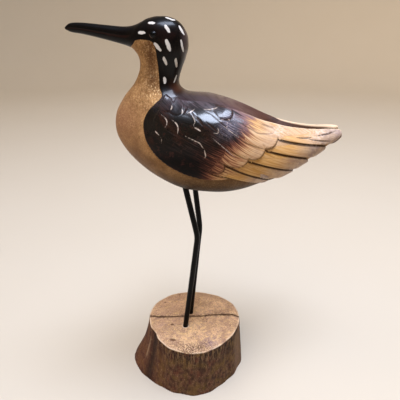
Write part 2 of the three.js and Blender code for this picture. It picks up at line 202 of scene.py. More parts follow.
# Pale strokes along feather edges on the dark of the wing.
PALE_EDGE_STROKES = [
    (0.8, [(-11, 65.4), (-10.9, 64), (-11.4, 62.8)]),
    (0.8, [(-4.4, 63.3), (-3.5, 62.2), (-4.1, 60.7)]),
    (0.8, [(4.2, 64.2), (2.9, 62.7), (1.4, 61.8), (-0.5, 61.2)]),
    (0.6, [(2.1, 60.9), (3.9, 59), (5.2, 56.8), (4.6, 55.1), (5, 53.6)]),
    (0.9, [(5, 53.6), (7.5, 52.6), (9.4, 51.5)]),
    (0.7, [(-17.6, 60.2), (-15, 58.7), (-13.2, 56.7), (-13.1, 54.5), (-14.6, 52.1)]),
    (0.8, [(-10.7, 57.4), (-8.1, 56.3), (-6.1, 54.5), (-5.4, 52.2), (-5.7, 49.3)]),
    (0.8, [(-20.9, 50.1), (-17.8, 47.7)]),
    (0.4, [(-17.8, 47.7), (-16.3, 45.6), (-16.6, 42.5)]),
    (0.7, [(-1.6, 48.8), (2.5, 47.2), (6.5, 45.6), (8.8, 44.6), (10.6, 42.4), (12, 40.8)]),
    (0.8, [(12, 40.8), (12.4, 38.7), (12.8, 36.3), (11, 34.2)]),
    (0.6, [(17.1, 50.8), (19.6, 50.5), (20.5, 52.1), (19.4, 53.9)]),
    (0.7, [(9.1, 63.9), (13.9, 63.9), (17.1, 64.4), (19.4, 65.2)]),
    (0.5, [(22.8, 55.1), (28.4, 51.5), (34.1, 47.8)]),
    (0.5, [(16, 48.4), (21.3, 44.4), (27.7, 39.3), (33, 35.2)]),
]

# Where the dark paint ends against the tan, from the bill over the cheek and round the wing. Two
# corners above the bird close the outline.
DARK_EDGE = [
    (-120, 80), (-60, 92), (-40.6, 100.8), (-35.5, 104.7), (-28, 104.8), (-24.7, 103.8), (-23.1, 101.6),
    (-22.4, 98.6), (-22, 95), (-21.6, 91), (-21.3, 86.3), (-20.7, 76.3), (-18.7, 70.7), (-22.8, 66.3),
    (-27.1, 61.9), (-30, 56), (-30.2, 50), (-28, 43.2), (-21.5, 34.2), (-12.9, 27.4), (-3.5, 22.6),
    (9.8, 19.3), (20, 19), (32, 21), (48, 24), (66, 32), (84, 42), (98, 48), (120, 50),
]
ABOVE_BIRD = [(120, 200), (-120, 200)]
# The cap's paint stands proud of the tan from these heights up, and towards the nape it doesn't.
CAP_PROUD = 0.18
CAP_RISES, CAP_ENDS = (66, 72), (-14, -6)
PAINT_EDGE = 0.3
# The way that the wing's feathers run, and where along it the black ends and the gold starts: pairs
# of a place up across the wing and one along it.
FEATHER_RUN = (0.96, -0.28)
BLACK_ENDS = [
    (24.1, 2.6), (32.2, 2.4), (37.5, 0), (43.9, 5.4), (49.7, 11.6), (52.9, 14.3),
    (57.6, 16.7), (61.8, 15.8), (64.5, 12.6), (67.3, 9), (68.8, 3.5),
]
GOLD_STARTS = [
    (28.6, 16), (33.3, 22), (40.3, 25), (46.6, 25), (51.2, 26), (55.4, 25.6),
    (59, 26.5), (63.2, 24.6), (66, 24), (67.4, 26), (68.3, 34),
]
# Soft spots on the side view that the paint follows: the middle, and the reach along x and up.
PAINT_SPOTS = dict(
    nape=[(-9, 76, 4, 4)],
    breast=[(-50, 52, 15, 15)],
    under_breast=[(-40, 24, 15, 18.75)],
    scratched=[(-23, 74, 7, 8.75)],
    shoulder=[(-9, 65.5, 6.5, 5)],
    # A mauve-grey painted sheen with pale painted glints in it, which also dulls the varnish there.
    scuffed=[(27, 55.5, 6, 6)],
    frosted=[(59, 50, 6.75, 4.5), (86, 48.5, 9.35, 5.5)],
)
# The brown cheek beside the cap: its middle along x and its width, and its ends from below and above.
CHEEK_X, CHEEK_WIDTH = -26, 5
CHEEK_STARTS, CHEEK_ENDS = (70, 82), (102, 106)
# Below these heights the tan darkens to the belly: its olive brown, deepened with painted shade.
BELLY_ENDS = (4, 38)

# White brush dabs on the head and nape: both ends on the side view, and the width.
DABS = [
    ((-34.4, 109.3), (-28, 109.1), 2.2),
    ((-27.9, 115), (-22, 114.4), 2.1),
    ((-37.2, 114.1), (-30.6, 117), 2.2),
    ((-17.6, 118), (-10.4, 116), 2.2),
    ((-16.6, 113.9), (-12.8, 108.5), 2.2),
    ((-8.6, 113.4), (-4.6, 107.3), 2.3),
    ((-23.3, 103.8), (-18.5, 97.8), 2.4),
    ((-15.7, 105.8), (-12.7, 97.2), 2.7),
    ((-6.8, 105.7), (-5.3, 96.8), 1.7),
    ((-17.9, 95.6), (-15.6, 89.2), 2.1),
    ((-10.2, 94.7), (-10, 87.7), 2),
    ((-17.8, 83), (-17.2, 77.4), 2.2),
    ((-10.3, 83.4), (-12.4, 78), 1.4),
]
EYE = (-23.9, 108.1)
EYE_DIAMETER = 4.6
EYE_PROUD = 0.9
EYE_RING_DEPTH = 0.3
EYE_RING_WIDTH = 0.35
# How far from the eye a painted highlight on its rim may reach.
EYE_GLINT_REACH = 4
# The mouth line: its places as numbers of ribs, and how far up its rib it runs, from -1 to 1.
MOUTH_DEEPENS, MOUTH_FADES = (24.6, 26), (29, 29.7)
MOUTH_UP = -0.12
MOUTH_DEPTH = 0.15
MOUTH_WIDTH = 0.35
BILL_STARTS = (24.3, 25.2)
BILL_HALF_HEIGHT = 3

# A distance beyond the reach of every mark, for the points that a mark can't touch.
FAR = 9.0

# The wire legs. Their radius wavers a little, in waves up their height.
LEG_DIAMETER = 4.3
LEG_UNEVEN = 0.05
LEG_WAVES = (0.11, 0.23, 0.41)
LEG_SIDES = 32
LEG_SEED = 20
LEG_SPREAD = 17.6
SOCKET_DEPTH = 12
KNEE_BEND = 5
# Each leg's side and its places along x: at the log's top, at the knee and at the belly.
LEGS = {
    "left_leg": dict(side=-1, foot=-7, knee=3.8, hip=-4.3),
    "right_leg": dict(side=1, foot=-5.3, knee=3.2, hip=-1),
}

# The log. Turns round it are radians from +X towards +Y.
LOG_RADIUS = 39.8
OFF_CENTRE, OFF_CENTRE_TURN = 0.049, 2.23
CORNERS, CORNERS_TURN = 0.035, 1.68
ROOT_FLARE = 16.5
FLARE_TURN, FLARE_WIDTH = math.pi, 0.78
FOOT_SWELL = 3
FOOT_SWELL_TURN, FOOT_SWELL_WIDTH = 0.15, 0.5
BARK_DENT = 1.8
DENT_TURN, DENT_WIDTH = 3.74, 0.16
BARK_DEPTH = 0.4
FIBRE_DEPTH = 0.35
FIBRE_WAVES = (31, 43, 58, 71, 89, 104, 127, 141)
FIBRE_SEED = 7
RIM_INSET = 0.25
RIM_DROP = 0.3
CRACK_WIDTH = 1.3
CRACK_DEPTH = 4
CRACK_LINE = [(-25.2, 0.2), (-12, 3.1), (2, 5), (17, 9.1), (31.2, 11.1)]
CRACK_TURNS = (math.pi + 0.02, 0.24)
CRACK_STEPS = 171
TOP_ROWS, SIDE_ROWS, BELOW_ROWS = 36, 76, 7
# What the log's finish follows: soft spots on its top, the middle and the reach along x and y, and
# strips down its side, the turn and the reach.
LOG_SPOTS = dict(
    bloom=[(17, -25, 7, 7)],
    heart=[(-2, -12, 11, 11)],
    weathered=[(-22, 6, 15.6, 13)],
)
LOG_STRIPS = dict(
    bill_side=(math.pi + 0.3, 0.7),
    dent=(DENT_TURN, 0.12),
    flake=(3.55, 0.025),
    right_edge=(-0.1, 0.18),
    front=(-math.pi / 2 + 0.1, 0.5),
    back=(math.pi / 2, 0.8),
)
# Dark stains on the log's top: the middle, and half the length and width.
STAINS = [
    (-14.5, -26.8, 3.6, 1.5), (-18.7, -8.8, 2, 1.2), (-31.3, 20.1, 1.4, 1), (-19.9, 32.9, 1.3, 1),
    (31.7, 11.8, 1.5, 0.8),
]


def lerp(a, b, t):
    return a + (b - a) * t


def smooth(low, high, value):
    t = np.clip((value - low) / (high - low), 0, 1)
    return t * t * (3 - 2 * t)


def bell(value, width):
    return np.exp(-((value / width) ** 2))


def soft_spots(table, x, up):
    """By each name in the table, how near a point is to the middle of one of its spots, from 0 to 1."""
    return {
        name: np.max([
            bell(np.hypot((x - at_x) / reach_x, (up - at_up) / reach_up), 1)
            for at_x, at_up, reach_x, reach_up in spots
        ], axis=0)
        for name, spots in table.items()
    }


# Curves and distances on the side view.
def along_curve(rows, place):
    """A smooth curve through the rows, at places that count them from 0."""
    rows = np.asarray(rows, float)
    last = len(rows) - 1
    i = np.clip(np.floor(place).astype(int), 0, last - 1)
    t = (place - i)[..., None]
    a, b, c, d = (rows[np.clip(i + k, 0, last)] for k in (-1, 0, 1, 2))
    bend = 2 * a - 5 * b + 4 * c - d
    return 0.5 * (2 * b + (c - a) * t + bend * t**2 + (3 * (b - c) + d - a) * t**3)


def curve(points):
    steps_each = 5
    count = len(points) - 1
    return along_curve(points, np.linspace(0, count, count * steps_each + 1))


def distance_to(line, x, z):
    nearest = np.full(np.shape(x), np.inf)
    for (ax, az), (bx, bz) in zip(line[:-1], line[1:]):
        run_x, run_z = bx - ax, bz - az
        t = np.clip(((x - ax) * run_x + (z - az) * run_z) / (run_x**2 + run_z**2), 0, 1)
        nearest = np.minimum(nearest, np.hypot(x - ax - t * run_x, z - az - t * run_z))
    return nearest


def depth_in_stroke(width, line, x, z):
    """How far a point lies inside a stroke that is wide in the middle and thin at both ends."""
    line = curve(line)
    deepest = np.full(np.shape(x), -FAR)
    for number, (start, end) in enumerate(zip(line[:-1], line[1:])):
        way = (number + 0.5) / (len(line) - 1)
        half = width / 2 * math.sin(math.pi * way) ** 0.7
        deepest = np.maximum(deepest, half - distance_to([start, end], x, z))
    return deepest


def depth_inside(outline, x, z):
    """How far a point lies inside a closed outline. Outside it the number is negative."""
    inside = np.zeros(np.shape(x), bool)
    ring = np.vstack([outline, outline[:1]])
    for (ax, az), (bx, bz) in zip(ring[:-1], ring[1:]):
        if az == bz:
            continue
        crosses = (az > z) != (bz > z)
        inside ^= crosses & (x < ax + (bx - ax) * (z - az) / (bz - az))
    distance = distance_to(ring, x, z)
    return np.where(inside, distance, -distance)


def depth_in_feather(along, across, length, half, blunt):
    """How far a point lies inside a feather with straight sides and a rounded tip."""
    ending = TIP_ROUNDING * half
    into, beside = np.maximum(0, along - length + ending) / ending, np.abs(across) / half
    reach = np.maximum(into**blunt + beside**blunt, 1e-6) ** (1 / blunt)
    slope = np.hypot((into / reach) ** (blunt - 1) / ending, (beside / reach) ** (blunt - 1) / half)
    inside = np.where(into > 0, (1 - reach) / np.maximum(slope, 1e-6), half - np.abs(across))
    return np.minimum(inside, along)


def along_wing(x, z):
    """Each point's place along the wing's feathers and down across them."""
    run_x, run_z = FEATHER_RUN
    return x * run_x + z * run_z, x * run_z - z * run_x


# The bird's skin.
def side_view(place, angle):
    """A point's x and z on the side view, its y, how far up its rib it is, and the rib's height.

    How far up counts from -1 on the breast side to 1 on the back."""
    back_x, back_z, front_x, front_z, half = np.moveaxis(along_curve(RIBS, place), -1, 0)
    power = 2 / SECTION_POWER
    up = np.sign(np.cos(angle)) * np.abs(np.cos(angle)) ** power
    y = half * np.sign(np.sin(angle)) * np.abs(np.sin(angle)) ** power
    x = (back_x + front_x + (back_x - front_x) * up) / 2
    z = (back_z + front_z + (back_z - front_z) * up) / 2
    return x, z, y, up, back_z - front_z


def valley_reach(x):
    """Half the width of the valley that opens between the wings towards the tail."""
    narrowing = smooth(VALLEY_X["narrows"], VALLEY_X["end"], x)
    return lerp(VALLEY_HALF_WIDTH["front"], VALLEY_HALF_WIDTH["tail"], narrowing)


def skin(place, angle):
    x, z, y, up, rise = side_view(place, angle)
    middle = np.maximum(0, 1 - (y / valley_reach(x)) ** 2)
    deepening = smooth(VALLEY_X["start"], VALLEY_X["deepest"], x)
    depth = np.minimum(VALLEY_DEPTH * deepening, VALLEY_RIB_SHARE * rise)
    z = z - np.where(up > 0, depth * middle, 0)
    x = x - TAIL_NOTCH * smooth(NOTCH_X["start"], NOTCH_X["deepest"], x) * middle
    return np.stack([x, y, z + HIPS], -1)


def skin_normal(place, angle):
    step = 0.01
    along_place = skin(place + step, angle) - skin(place - step, angle)
    along_angle = skin(place, angle + step) - skin(place, angle - step)
    normal = np.cross(along_angle, along_place)
    return normal / np.linalg.norm(normal, axis=-1, keepdims=True)


def ring_places():
    fine = np.linspace(0, LAST_RIB, 100 * LAST_RIB + 1)
    ribs = along_curve(RIBS, fine)
    middle = (ribs[:, 0:2] + ribs[:, 2:4]) / 2
    step = np.linalg.norm(np.diff(middle, axis=0), axis=1)
    spacing = np.interp(fine[1:], *zip(*RING_SPACING))
    count = np.concatenate([[0], np.cumsum(step / spacing)])
    return np.interp(np.linspace(0, count[-1], int(count[-1]) + 1), count, fine)


def ring_angles():
    """Angles round a ring from the back. They lie closer over the sides, where the feathers are."""
    fine = np.linspace(0, math.pi, 721)
    on_side = smooth(*SIDE_STARTS, fine) * (1 - smooth(*SIDE_ENDS, fine))
    count = np.concatenate([[0], np.cumsum(1 + SIDE_CLOSER * on_side[1:])])
    half = np.interp(np.linspace(0, count[-1], RING_POINTS // 2 + 1), count, fine)
    return np.concatenate([half[:-1], 2 * math.pi - half[:0:-1]])


def spot_on(points, x, z, spot):
    """The place in space of a spot of the side view, on the bird's left."""
    on_right = points[:, 1] > 0.01
    away = np.hypot(x - spot[0], z - spot[1]) + np.where(on_right, 99, 0)
    return points[np.argmin(away)]


def mirrored_left(points):
    """The points, with those on the right mirrored, because both sides of the bird are alike."""
    return points * [1, 0, 1] - np.abs(points) * [0, 1, 0]


def dab_depth(points, x, z):
    """How far inside a white dab each point lies. A dab is a little wider at the start of its stroke."""
    left = mirrored_left(points)
    deepest = np.full(len(points), -FAR)
    ways = np.linspace(0, 1, 5)
    for start, end, width in DABS:
        start, end = np.array(start), np.array(end)
        inset = (end - start) * min(0.3, width / 2 / np.linalg.norm(end - start))
        stops = [spot_on(points, x, z, lerp(start + inset, end - inset, way)) for way in ways]
        for number, (a, b) in enumerate(zip(stops[:-1], stops[1:])):
            run = b - a
            t = np.clip((left - a) @ run / (run @ run), 0, 1)
            away = np.linalg.norm(left - a - t[:, None] * run, axis=1)
            way = (number + t) / (len(stops) - 1)
            half = width / 2 * np.sqrt(1 - 0.5 * (2 * way - 1) ** 2) * lerp(1.05, 0.85, way)
            deepest = np.maximum(deepest, half - away)
    return deepest


def coverts():
    reach = COVERT_LENGTH / math.hypot(1, COVERT_SLOPE)
    return [
        dict(root=(x - reach, z - reach * COVERT_SLOPE), tip=(x, z), half=COVERT_WIDTH / 2)
        for x, z in COVERT_TIPS
    ]


class Relief:
    """What lies on the skin, point by point: the carved height and what the paint follows.

    Of the topmost feather there are its number, the depth inside it, the share of its length, the
    places along it, across it and across its barbs, and how pale it is. Of the nearest line that a
    feather casts, painted shadow with stain in it, there are the distance and how dark it is."""

    def __init__(self, place, angle):
        self.place = place
        self.x, self.z, self.y, self.up, _ = side_view(place, angle)
        self.bare = skin(place, angle)
        self.height = np.zeros_like(self.x)
        self.number = np.zeros_like(self.x)
        self.covered = np.full_like(self.x, -FAR)
        self.tip = np.zeros_like(self.x)
        self.along, self.across = along_wing(self.x, self.z)
        self.comb = self.across - SMALL_FEATHER["lean"] * self.along
        self.pale = PALEST * smooth(*PALE_ALONG, self.x) * smooth(*PALE_UP, self.z)
        self.near = np.full_like(self.x, FAR)
        self.line = np.zeros_like(self.x)

    def lay_wing(self):
        back, front = curve(WING_BACK), curve(WING_FRONT)
        inside = depth_inside(np.vstack([back, front[::-1]]), self.x, self.z)
        from_back = lerp(BACK_SHARE, 1, smooth(0, BACK_FADE, distance_to(back, self.x, self.z)))
        share = np.minimum(1 - smooth(*WING_SINKS, self.x), from_back)
        proud = np.maximum(0, lerp(-BURIED, WING_PROUD, share))
        groove = bell(inside + GROOVE_AWAY, GROOVE_WIDTH) * (1 - smooth(*WING_GROOVE_ENDS, self.x))
        self.height = proud * smooth(0, EDGE_WIDTH, inside) - GROOVE_DEPTH * groove * from_back

    def lay_feather(self, number, row, root, tip, half, bow=0, pale=0, line=0):
        length = math.hypot(tip[0] - root[0], tip[1] - root[1])
        run_x, run_z = (tip[0] - root[0]) / length, (tip[1] - root[1]) / length
        along = (self.x - root[0]) * run_x + (self.z - root[1]) * run_z
        share = np.clip(along / length, 0, 1)
        across = (self.x - root[0]) * run_z - (self.z - root[1]) * run_x
        across = across - bow * 4 * share * (1 - share)
        inside = depth_in_feather(along, across, length, half, row["blunt"])

        # It rises from its root to its tip and from its upper edge to its lower one.
        lower = (np.clip(across / half, -1, 1) + 1) / 2
        height = row["low"] + row["lift"] * lerp(0.2, 1, share) * lerp(lower, 1, share**3)
        from_root = np.clip(along / min(ROOT_FADE, ROOT_SHARE * length), 0, 1)
        gain = np.maximum(lerp(row["at_root"], height, from_root) - self.height, 0)
        shown = (inside > 0) & (gain > 0)
        self.height += gain * smooth(0, EDGE_WIDTH, inside)

        # Its lower edge and its tip cast a dark line, painted shadow with stain in it, which reaches three
        # times as far outwards.
        from_edge = np.where(inside > 0, 3 * inside, -inside)
        start = row["line_from"]
        casting = (share > start) & ((across > -0.2 * half) | (share > 0.97))
        closer = casting & (shown | (inside <= 0) & (from_edge < self.near))
        self.near = np.where(closer, from_edge, np.where(shown, FAR, self.near))
        self.line = np.where(closer, line * smooth(start, start + 0.1, share), self.line)
        comb = across - row["lean"] * along
        topmost = dict(
            number=number, covered=inside, tip=share, along=along, across=across, comb=comb, pale=pale,
        )
        for name, value in topmost.items():
            setattr(self, name, np.where(shown, value, getattr(self, name)))

    def lay_feathers(self):
        rows = [
            (FLIGHT_FEATHERS, FLIGHT_ROW), (UPPER_FEATHERS, UPPER_ROW),
            (DARK_FEATHERS, DARK_ROW), (coverts(), COVERT_ROW),
        ]
        feathers = [(row, feather) for feathers_in_row, row in rows for feather in feathers_in_row]
        for number, (row, feather) in enumerate(feathers, 1):
            self.lay_feather(number, row, **feather)
        self.height -= GROOVE_DEPTH * bell(self.near, GROOVE_WIDTH) * lerp(0.3, 1, self.line)

    def lay_eye(self):
        radius, sunk = EYE_DIAMETER / 2, EYE_DIAMETER / 2 - EYE_PROUD
        self.eye_seat = spot_on(self.bare, self.x, self.z, EYE)
        self.eye_rim = math.sqrt(radius**2 - sunk**2)
        self.from_eye = np.linalg.norm(mirrored_left(self.bare) - self.eye_seat, axis=1)
        dome = np.sqrt(np.maximum(0, radius**2 - self.from_eye**2)) - sunk
        self.height += np.where(self.from_eye < self.eye_rim, dome, 0)
        from_ring = self.from_eye - self.eye_rim - EYE_RING_WIDTH
        self.height -= EYE_RING_DEPTH * bell(from_ring, EYE_RING_WIDTH)

    def lay_cap(self):
        outline = np.vstack([curve(DARK_EDGE), ABOVE_BIRD])
        self.dark = depth_inside(outline, self.x, self.z)
        on_head = smooth(*CAP_RISES, self.z) * (1 - smooth(*CAP_ENDS, self.x))
        self.height += CAP_PROUD * smooth(-PAINT_EDGE, PAINT_EDGE, self.dark) * on_head

    def cut_mouth(self):
        away = np.abs(self.up - MOUTH_UP) * BILL_HALF_HEIGHT
        self.mouth = np.where(self.place > MOUTH_DEEPENS[0], away, FAR)
        shown = smooth(*MOUTH_DEEPENS, self.place) * (1 - smooth(*MOUTH_FADES, self.place))
        self.height -= MOUTH_DEPTH * bell(self.mouth, MOUTH_WIDTH) * shown

    def cut_strokes(self):
        self.cut, self.worn = (
            np.max([depth_in_stroke(width, line, self.x, self.z) for width, line in strokes], axis=0)
            for strokes in (CUTS, PALE_EDGE_STROKES)
        )
        self.height -= CUT_DEPTH * smooth(-PAINT_EDGE, PAINT_EDGE, self.cut)

    def guides(self):
        """What the paint follows, by the names under which the finish reads it."""
        x, z = self.x, self.z
        along, down = along_wing(x, z)
        black_end = np.interp(-down, *zip(*BLACK_ENDS))
        gold_start = np.interp(-down, *zip(*GOLD_STARTS))
        painted_reach = valley_reach(x) + RIDGE_SPREAD * (1 - smooth(*RIDGE_X, x))
        # How far towards the eye's lower front a point lies, where a highlight is painted on its rim.
        under_eye = (self.eye_seat[0] - x) + (self.eye_seat[2] - HIPS - z)
        own = ("along", "across", "comb", "number", "pale", "tip", "near", "line", "mouth", "cut", "worn")
        return dict(
            **{name: getattr(self, name) for name in own},
            dark=np.maximum(self.dark, self.covered),
            tone=(along - black_end) / (gold_start - black_end),
            flight=(self.number > 0) & (self.number <= len(FLIGHT_FEATHERS)),
            dab=dab_depth(self.bare, x, z),
            eye=self.eye_rim - self.from_eye,
            under_eye=np.where(self.from_eye < EYE_GLINT_REACH, under_eye, -FAR),
            valley=np.where(self.up > 0, painted_reach - np.abs(self.y), -FAR),
            tail=x,
            rise=z,
            cheek=bell(x - CHEEK_X, CHEEK_WIDTH) * smooth(*CHEEK_STARTS, z) * (1 - smooth(*CHEEK_ENDS, z)),
            belly=1 - smooth(*BELLY_ENDS, z),
            bill=smooth(*BILL_STARTS, self.place),
            **soft_spots(PAINT_SPOTS, x, z),
        )


def new_piece(name, points, faces, material, node):
    mesh = bpy.data.meshes.new(name)
    mesh.from_pydata((points * MM).tolist(), [], faces)
    mesh.update()
    mesh.polygons.foreach_set("use_smooth", [True] * len(mesh.polygons))
    piece = bpy.data.objects.new(name, mesh)
    bpy.context.scene.collection.objects.link(piece)
    mesh.materials.append(material)
    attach(piece, "root")
    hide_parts(node)
    return piece


def keep(piece, values):
    """Stores numbers on the piece's points, for its finish to read."""
    for name, value in values.items():
        held = piece.data.attributes.new(name, "FLOAT", "POINT")
        held.data.foreach_set("value", value.astype(np.float32))


def within_solids(points, clear=0):
    """The points, moved into the box round the solids where they lie outside it."""
    low, high = (np.array(corner) / MM for corner in solids_box)
    return np.clip(points, low + clear, high - clear)


def grid_faces(rows, columns, closed):
    """Four-sided faces over a grid of points. A closed one joins its last column to its first."""
    i, j = np.meshgrid(np.arange(rows - 1), np.arange(columns - (not closed)), indexing="ij")
    a, b = i * columns + j, i * columns + (j + 1) % columns
    return np.stack([a, b, b + columns, a + columns], -1).reshape(-1, 4)


def bird_faces(rings):
    """Faces round the rings, over the tail's end and to the tip of the bill."""
    n = RING_POINTS
    faces = grid_faces(rings, n, closed=True).tolist()
    for a in range(n // 4):
        b = a + 1
        faces.append([b, a, n // 2 - a, n // 2 - b] if b < n // 4 else [b, a, n // 2 - a])
        right = [n - b, n // 2 + b, n // 2 + a, (n - a) % n]
        faces.append(right if b < n // 4 else [n - b, n // 2 + a, (n - a) % n])
    tip = rings * n
    faces += [[tip - n + j, tip - n + (j + 1) % n, tip] for j in range(n)]
    return faces


def carve_bird(material):
    places = ring_places()
    place, angle = (grid.ravel() for grid in np.meshgrid(places, ring_angles(), indexing="ij"))
    relief = Relief(place, angle)
    relief.lay_wing()
    relief.lay_feathers()
    relief.lay_eye()
    relief.lay_cap()
    relief.cut_mouth()
    relief.cut_strokes()
    points = relief.bare + relief.height[:, None] * skin_normal(place, angle)
    bill_tip = points[-RING_POINTS:].mean(axis=0) - [BILL_TIP, 0, 0]
    points = within_solids(np.vstack([points, bill_tip]), clear=0.01)
    faces = bird_faces(len(places))
    bird = new_piece("painted_bird", points, faces, material, "bird")
    keep(bird, {name: np.append(value, value[-1]) for name, value in relief.guides().items()})


# The wire legs.
def leg_path(side, foot, knee, hip):
    y = side * LEG_SPREAD / 2
    ankle, joint, belly = (
        np.array([at, y, height])
        for at, height in ((foot, LOG_HEIGHT), (knee, LOG_HEIGHT + SHANK_RISE), (hip, HIPS))
    )
    down = (ankle - joint) / np.linalg.norm(ankle - joint)
    onward = (belly - joint) / np.linalg.norm(belly - joint)
    low, high = ankle + down * SOCKET_DEPTH, belly + onward * SOCKET_DEPTH
    bend_low, bend_high = joint + down * KNEE_BEND, joint + onward * KNEE_BEND
    shank = lerp(low, bend_low, np.linspace(0, 1, 40)[:, None])
    t = np.linspace(0, 1, 14)[1:-1, None]
    bend = (1 - t) ** 2 * bend_low + 2 * t * (1 - t) * joint + t**2 * bend_high
    thigh = lerp(bend_high, high, np.linspace(0, 1, 20)[:, None])
    return np.vstack([shank, bend, thigh])


def bend_leg(name, spec, material, draw):
    path = leg_path(**spec)
    along = np.gradient(path, axis=0)
    along /= np.linalg.norm(along, axis=1, keepdims=True)
    across = np.array([0.0, 1.0, 0.0])
    ahead = np.cross(across, along)
    turn = np.linspace(0, 2 * math.pi, LEG_SIDES, endpoint=False)
    phases = draw.uniform(0, 2 * math.pi, len(LEG_WAVES))
    waves = [np.sin(path[:, 2] * wave + phase) for wave, phase in zip(LEG_WAVES, phases)]
    radius = LEG_DIAMETER / 2 + LEG_UNEVEN * sum(waves) / len(waves)
    rim = np.cos(turn)[:, None] * ahead[:, None, :] + np.sin(turn)[:, None] * across
    points = (path[:, None, :] + radius[:, None, None] * rim).reshape(-1, 3)
    faces = grid_faces(len(path), LEG_SIDES, closed=True).tolist()
    faces.append(list(range(LEG_SIDES))[::-1])
    faces.append(list(range(len(points) - LEG_SIDES, len(points))))
    new_piece("wire_" + name, points, faces, material, name)


# The log.
def swell(turn, at, width):
    """A bell round one turn of the log."""
    away = np.arctan2(np.sin(turn - at), np.cos(turn - at))
    return bell(away, width)


def log_radius(turn, share):
    """The log's radius at a turn round it and a share of its height."""
    foot = 1 - share
    outline = 1 + OFF_CENTRE * np.cos(turn - OFF_CENTRE_TURN) + CORNERS * np.cos(3 * turn - CORNERS_TURN)
    flare = ROOT_FLARE * swell(turn, FLARE_TURN, FLARE_WIDTH) * foot**1.6
    foot_swell = FOOT_SWELL * swell(turn, FOOT_SWELL_TURN, FOOT_SWELL_WIDTH) * foot
    dent = BARK_DENT * swell(turn, DENT_TURN, DENT_WIDTH) * lerp(1, 0.5, foot)
    ribs = np.sin(9 * turn + 1.5 * np.sin(3 * turn)) + 0.6 * np.sin(16 * turn + 2 * share)
    bark = BARK_DEPTH * ribs * lerp(0.4, 1, smooth(0, 0.3, foot))
    return LOG_RADIUS * outline + flare - dent + foot_swell + bark


def rim_point(turn):
    radius = log_radius(np.array(turn), 1)
    return radius * np.array([math.cos(turn), math.sin(turn)])


def fibres(turn, height):
    """The fine upright ridges of the log's side, from about -1 to 1."""
    draw = np.random.default_rng(FIBRE_SEED)
    total = np.zeros(np.broadcast(turn, height).shape)
    for waves in FIBRE_WAVES:
        phase, drift, sway = draw.uniform(0, 2 * math.pi), draw.normal(0, 0.05), draw.uniform(0.5, 2)
        aside = drift * height + sway * np.sin(height * 0.09 + phase)
        total += np.sin(waves * turn + phase + aside) / waves**0.5
    return total / 0.7


def ring_spot(radius, turn, height):
    return np.stack(np.broadcast_arrays(radius * np.cos(turn), radius * np.sin(turn), height), -1)


def half_log(side, crack, gape):
    """A grid over one half of the log: from the crack's floor over the top, down the side and below."""
    share = np.linspace(0, 1, len(crack))
    start_turn, end_turn = CRACK_TURNS
    turn = lerp(start_turn, end_turn + (2 * math.pi if side < 0 else 0), share)
    level = np.full(len(crack), LOG_HEIGHT)
    rows = [np.column_stack([crack, level - CRACK_DEPTH * gape])]
    lip = crack + np.array([0, side]) * (CRACK_WIDTH / 2 * gape)[:, None]
    rim = ring_spot(log_radius(turn, 1) - RIM_INSET, turn, LOG_HEIGHT)[:, :2]
    rows += [np.column_stack([lerp(lip, rim, t), level]) for t in np.linspace(0, 1, TOP_ROWS) ** 1.25]
    for down in np.linspace(0, 1, SIDE_ROWS):
        height = LOG_HEIGHT * (1 - down) - RIM_DROP * (1 - down) ** 12
        shown = smooth(0, 0.05, down) * (1 - 0.6 * smooth(0.96, 1, down))
        radius = log_radius(turn, 1 - down) + FIBRE_DEPTH * fibres(turn, height) * shown
        rows.append(ring_spot(radius, turn, height))
    foot, middle = rows[-1], np.column_stack([crack, np.zeros(len(crack))])
    rows += [lerp(foot, middle, t) for t in np.linspace(0, 1, BELOW_ROWS)[1:]]
    return np.array(rows)


def weld(mesh):
    """Joins the points that lie on each other and turns every face outwards."""
    whole = bmesh.new()
    whole.from_mesh(mesh)
    bmesh.ops.remove_doubles(whole, verts=whole.verts, dist=0.02 * MM)
    bmesh.ops.dissolve_degenerate(whole, edges=whole.edges, dist=0.001 * MM)
    bmesh.ops.recalc_face_normals(whole, faces=whole.faces)
    whole.to_mesh(mesh)
    whole.free()


def log_guides(crack, x, y, z):
    """What the log's finish follows, by the names under which it reads it."""
    turn, drop = np.arctan2(y, x), LOG_HEIGHT - z
    left = LEGS["left_leg"]
    from_left_leg = np.hypot(x - left["foot"], y - left["side"] * LEG_SPREAD / 2)
    strips = {name: swell(turn, at, reach) for name, (at, reach) in LOG_STRIPS.items()}
    strips["dent"] *= smooth(0, 4, drop)
    strips["flake"] *= smooth(7, 13, drop) * (1 - smooth(26, 34, drop))
    strips["right_edge"] *= smooth(2, 8, drop)
    stains = [
        1.2 - np.hypot((x - at_x) / length, (y - at_y) / width) for at_x, at_y, length, width in STAINS
    ]
    return dict(
        crack=distance_to(crack, x, y),
        stain=np.max(stains, axis=0),
        glue=from_left_leg - LEG_DIAMETER / 2,
        rim=log_radius(turn, 1) - np.hypot(x, y),
        up=1 - smooth(0.1, 0.6, drop),
        drop=drop,
        **strips,
        **soft_spots(LOG_SPOTS, x, y),
    )


def build_log(material):
    line = np.vstack([rim_point(CRACK_TURNS[0]), CRACK_LINE, rim_point(CRACK_TURNS[1])])
    share = np.linspace(0, 1, CRACK_STEPS)
    crack = along_curve(line, share * (len(line) - 1))
    gape = np.sin(math.pi * share) ** 0.5 * lerp(1.1, 0.7, share)
    points, faces = [], []
    for side in (1, -1):
        grid = half_log(side, crack, gape)
        quads = grid_faces(*grid.shape[:2], closed=False) + len(points)
        faces += quads[:, ::-side].tolist()
        points.extend(grid.reshape(-1, 3))
    points = within_solids(points)
    log = new_piece("log_slice", points, faces, material, "log_base")
    weld(log.data)
    x, y, z = np.array([point.co for point in log.data.vertices]).T / MM
    keep(log, log_guides(crack, x, y, z))


